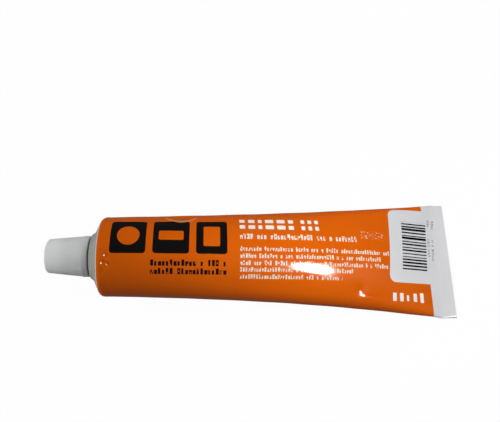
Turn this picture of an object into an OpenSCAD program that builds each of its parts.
// Collapsible aluminium tube of sealant, lying on its flattened side, with its screw cap on.
// Lengths are in millimetres, angles in degrees. +X runs from the cap to the end fold, +Z is up.
// Each piece is drawn along its own axis first, and at_rest() lays it down.

/* [Sleeve] */
// Diameter of the round sleeve at the shoulder
body_d = 32; // [25:1:40]
// Length from the shoulder corner to the edge of the end fold
body_len = 146.5; // [100:0.5:200]
// Length of sleeve behind the shoulder's corner that stays round
round_len = 1; // [0.5:0.5:5]
// Height of the sleeve over the rim of the shoulder
rim_step = 0.06; // [0.03:0.01:0.1]
// Share of the flattening that grows gently along the whole sleeve
gentle_share = 0.5; // [0.3:0.05:0.9]
// Power of the gentle part of the flattening
gentle_power = 1.2; // [1:0.05:2]
// Power of the steep part of the flattening, near the fold
steep_power = 3.7; // [2:0.1:6]
// Half the angle of the arc across the top, where the sleeve is full
crown_angle = 50; // [30:5:70]
// Thickness at which that arc has sunk to a nearly flat top
sunk_t = 3; // [2:0.5:6]

/* [End fold] */
// Width of the folded band at the end, along the sleeve
fold_w = 4; // [2:0.5:8]
// Thickness of the folded band
fold_t = 1.2; // [0.8:0.1:2]
// Length of the pinched strip in front of the band
pinch_w = 1; // [0.5:0.5:3]
// Thickness of the two walls pressed together in that strip
pinch_t = 0.6; // [0.4:0.1:0.7]
// Length over which the underside rises to the pinched strip
fold_rise_len = 12; // [6:1:30]
// Size of the worn edges along the band
fold_edge = 0.25; // [0.1:0.05:0.35]

/* [Shoulder and neck] */
// Slope of the shoulder cone off the plane across the tube
shoulder_slope = 24.5; // [20:0.5:40]
// Radius of the corner between sleeve and shoulder
corner_r = 2.5; // [0.5:0.1:3]
// Diameter of the neck
neck_d = 12; // [9:0.5:13]
// Length of the neck from the shoulder cone to its mouth
neck_len = 10; // [6:0.5:12]
// Wall of the neck round its mouth
mouth_wall = 1.4; // [1:0.1:2]
// Depth of the mouth down to the closing membrane
mouth_depth = 0.6; // [0.3:0.1:2]
// Chamfer at the end of the neck
neck_chamfer = 0.4; // [0.2:0.1:0.8]

/* [Cap] */
// Wall of the cap at its rim, outside the bore
cap_wall = 1.95; // [1.8:0.05:3]
// Taper of the cap's radius from its rim to its free end
cap_taper = 1.45; // [0.4:0.05:1.5]
// Length of the cap
cap_len = 16.5; // [15:0.5:22]
// Length of the straight band at the rim
cap_band_len = 2.4; // [1:0.2:4]
// Step from the straight band down to the tapered side
cap_band_step = 0.12; // [0.05:0.01:0.4]
// Radius of the edge round the free end
cap_edge_r = 1; // [0.5:0.1:1.5]
// Gap between the rim and the shoulder
rim_gap = 1.45; // [0.5:0.05:2]
// Radial clearance between the cap's bore and the neck
bore_clear = 0.25; // [0.1:0.05:0.5]
// Chamfer that leads the neck into the cap, and clears the shoulder
lead_in = 1.2; // [1:0.1:1.4]
// Clearance between the end of the neck and the cap's inner floor
seat_clear = 0.2; // [0.1:0.05:0.5]
// Thickness of the floor across the cap
cap_floor_t = 1.4; // [1:0.1:2]
// Wall of the cap round the recess in its free end
end_wall = 1.6; // [1.2:0.1:2]
// Radius of the piercing point at its root
spike_root_r = 2.2; // [1.5:0.1:3]
// Radius of the piercing point at its tip
spike_tip_r = 0.35; // [0.2:0.05:0.8]
// Distance of the tip below the rim of the recess
spike_sink = 0.6; // [0.3:0.1:2]

/* [Hidden] */
orange_print = "#d86404";
bare_metal = "#a3a7a1";
grey_plastic = "#b6b9b8";

body_r = body_d / 2;
rim_r = body_r - rim_step;
neck_r = neck_d / 2;
mouth_r = neck_r - mouth_wall;
bore_r = neck_r + bore_clear;
cap_rim_r = bore_r + cap_wall;
cap_end_r = cap_rim_r - cap_taper;

// Stations along the tube's axis, counted from the shoulder corner towards the fold
corner_len = corner_r * tan((90 - shoulder_slope) / 2);
sleeve_x = corner_len + 0.3;
round_x = sleeve_x + round_len;
flat_x = body_len - fold_w - pinch_w;
band_x = body_len - fold_w;

// Heights above the corner plane, counted towards the cap
function shoulder_height(r) = (rim_r - r) * tan(shoulder_slope);
neck_base = shoulder_height(neck_r);
neck_end = neck_base + neck_len;
rim_h = shoulder_height(cap_rim_r) + rim_gap;
floor_h = neck_end + seat_clear;
recess_h = floor_h + cap_floor_t;
cap_end_h = rim_h + cap_len;

// The sleeve is drawn as rings of straight facets, and one facet runs along its underside
ring_count = 46;
crown_steps = 10;
side_steps = 26;
ring_points = 2 * (crown_steps + side_steps);
facet = cos((180 - crown_angle) / side_steps / 2);

// The underside is straight and flat from the round part to the fold, and it lies on the table
tilt = atan(facet * (body_r - fold_t / 2) / (body_len - round_x));
lift = body_r * facet * cos(tilt) + round_x * sin(tilt);
cap_reach = (cap_end_h - cap_edge_r) * cos(tilt) + (cap_end_r - cap_edge_r) * sin(tilt) + cap_edge_r;
fold_top = fold_t / 2 - fold_edge;
fold_reach = body_len * cos(tilt) + fold_top * sin(tilt);
shift = (cap_reach - fold_reach) / 2;

arc_steps = 8;
$fn = 96;

// How flat the sleeve is at station x: 0 is round, 1 is pressed flat
function along(x) = min(max((x - round_x) / (flat_x - round_x), 0), 1);
function flatness(x) =
    gentle_share * pow(along(x), gentle_power) + (1 - gentle_share) * pow(along(x), steep_power);

// Half the thickness of the sleeve
function half_thick(x) = max(body_r * (1 - flatness(x)), pinch_t / 2);

// A section has a flat underside, two rounded sides and one wide arc across the top, tangent to them.
// This is half the angle of that arc, where the sleeve has half the thickness h
least_crown = 0.5;
function crown_half(h) =
    max(crown_angle * (h - sunk_t / 2) / (body_r - sunk_t / 2), least_crown);

// Radii [side, crown] of a section, found from its thickness and its girth, with b half the crown's angle.
// The thickness is 2 h = side (1 + cos b) + crown (1 - cos b).
// The sheet doesn't stretch, so half the girth stays PI body_r = side (PI - b - sin b) + crown (b + sin b)
function radii(h) =
    let (
        b = crown_half(h),
        thick_side = 1 + cos(b),
        thick_crown = 1 - cos(b),
        girth_crown = b * PI / 180 + sin(b),
        girth_side = PI - girth_crown,
        scale = thick_side * girth_crown - thick_crown * girth_side
    )
    [
        (2 * h * girth_crown - PI * body_r * thick_crown) / scale,
        (PI * body_r * thick_side - 2 * h * girth_side) / scale
    ];
function underside(x) = -body_r * facet + max(x - round_x, 0) * tan(tilt);

// The band is turned under, so the wall in front of it rises until the top is level all the way
pinch_rise = fold_t - pinch_t;
function rise(x) =
    let (t = min(max((x - flat_x) / fold_rise_len + 1, 0), 1)) pinch_rise * t * t * (3 - 2 * t);

// Half of a section, from the middle of the top round to the underside: points [y, height over the underside]
function half_section(h) =
    let (
        b = crown_half(h),
        side = radii(h)[0],
        crown = radii(h)[1],
        step = (180 - b) / side_steps,
        side_z = side * cos(step / 2)
    )
    [
        for (i = [0:crown_steps - 1])
            let (a = b * (i + 0.5) / crown_steps)
                [crown * sin(a), side_z + side * cos(b) + crown * (cos(a) - cos(b))],
        for (i = [0:side_steps - 1])
            let (a = b + step * (i + 0.5))
                [(crown - side) * sin(b) + side * sin(a), side_z + side * cos(a)]
    ];

// One ring of the sleeve at station x, with half the thickness h, raised by up
function ring(x, h, up) =
    let (half = half_section(h), z = underside(x) + up)
    [
        for (p = half) [x, p[0], z + p[1]],
        for (i = [len(half) - 1:-1:0]) [x, -half[i][0], z + half[i][1]]
    ];

// Each station is [x, half thickness, rise]
sleeve_stations = [
    [sleeve_x, body_r, 0],
    for (i = [0:ring_count])
        let (x = round_x + (flat_x - round_x) * i / ring_count) [x, half_thick(x), rise(x)],
    [band_x - fold_edge, pinch_t / 2, pinch_rise],
    [band_x, (fold_t - fold_edge) / 2, fold_edge],
    [band_x + fold_edge, fold_t / 2, 0],
    [body_len - fold_edge, fold_t / 2, 0],
    [body_len, fold_t / 2 - fold_edge, fold_edge]
];

// Points of an arc in the plane, from angle a0 to a1
function arc(centre, r, a0, a1) = [
    for (i = [0:arc_steps])
        let (a = a0 + (a1 - a0) * i / arc_steps) centre + r * [cos(a), sin(a)]
];

// Loft of the whole sleeve, closed at both ends
module loft(stations) {
    rings = [for (s = stations) ring(s[0], s[1], s[2])];
    last = len(rings) - 1;
    function corner(j, i) = j * ring_points + i % ring_points;
    sides = [
        for (j = [0:last - 1], i = [0:ring_points - 1])
            each [
                [corner(j, i), corner(j + 1, i + 1), corner(j + 1, i)],
                [corner(j, i), corner(j, i + 1), corner(j + 1, i + 1)]
            ]
    ];
    front = [for (i = [ring_points - 1:-1:0]) corner(0, i)];
    back = [for (i = [0:ring_points - 1]) corner(last, i)];
    polyhedron(points = [for (r = rings) each r], faces = concat([front], sides, [back]));
}

// Turns a profile of [radius, height above the corner plane] round the tube's axis
module turned() {
    rotate([0, -90, 0]) rotate_extrude() children();
}

module sleeve() {
    color(orange_print) loft(sleeve_stations);
}

module shoulder_and_neck() {
    color(bare_metal) turned() polygon(concat(
        [[0, -round_x], [rim_r, -round_x]],
        arc([rim_r - corner_r, -corner_len], corner_r, 0, 90 - shoulder_slope),
        [
            [neck_r, neck_base],
            [neck_r, neck_end - neck_chamfer],
            [neck_r - neck_chamfer, neck_end],
            [mouth_r, neck_end],
            [mouth_r, neck_end - mouth_depth],
            [0, neck_end - mouth_depth]
        ]
    ));
}

module tube() {
    sleeve();
    shoulder_and_neck();
}

module cap() {
    band_h = rim_h + cap_band_len;
    recess_r = cap_end_r - end_wall;
    tip_h = cap_end_h - spike_sink;
    color(grey_plastic) turned() polygon(concat(
        [
            [0, floor_h],
            [bore_r, floor_h],
            [bore_r, rim_h + lead_in],
            [bore_r + lead_in, rim_h],
            [cap_rim_r, rim_h],
            [cap_rim_r, band_h],
            [cap_rim_r - cap_band_step, band_h]
        ],
        arc([cap_end_r - cap_edge_r, cap_end_h - cap_edge_r], cap_edge_r, 0, 90),
        [
            [recess_r, cap_end_h],
            [recess_r, recess_h],
            [spike_root_r, recess_h],
            [spike_tip_r, tip_h],
            [0, tip_h]
        ]
    ));
}

// Lays a piece down with its underside on the table, and centres the whole tube on the origin
module at_rest() {
    translate([shift, 0, lift]) rotate([0, tilt, 0]) children();
}

at_rest() tube();
at_rest() cap();
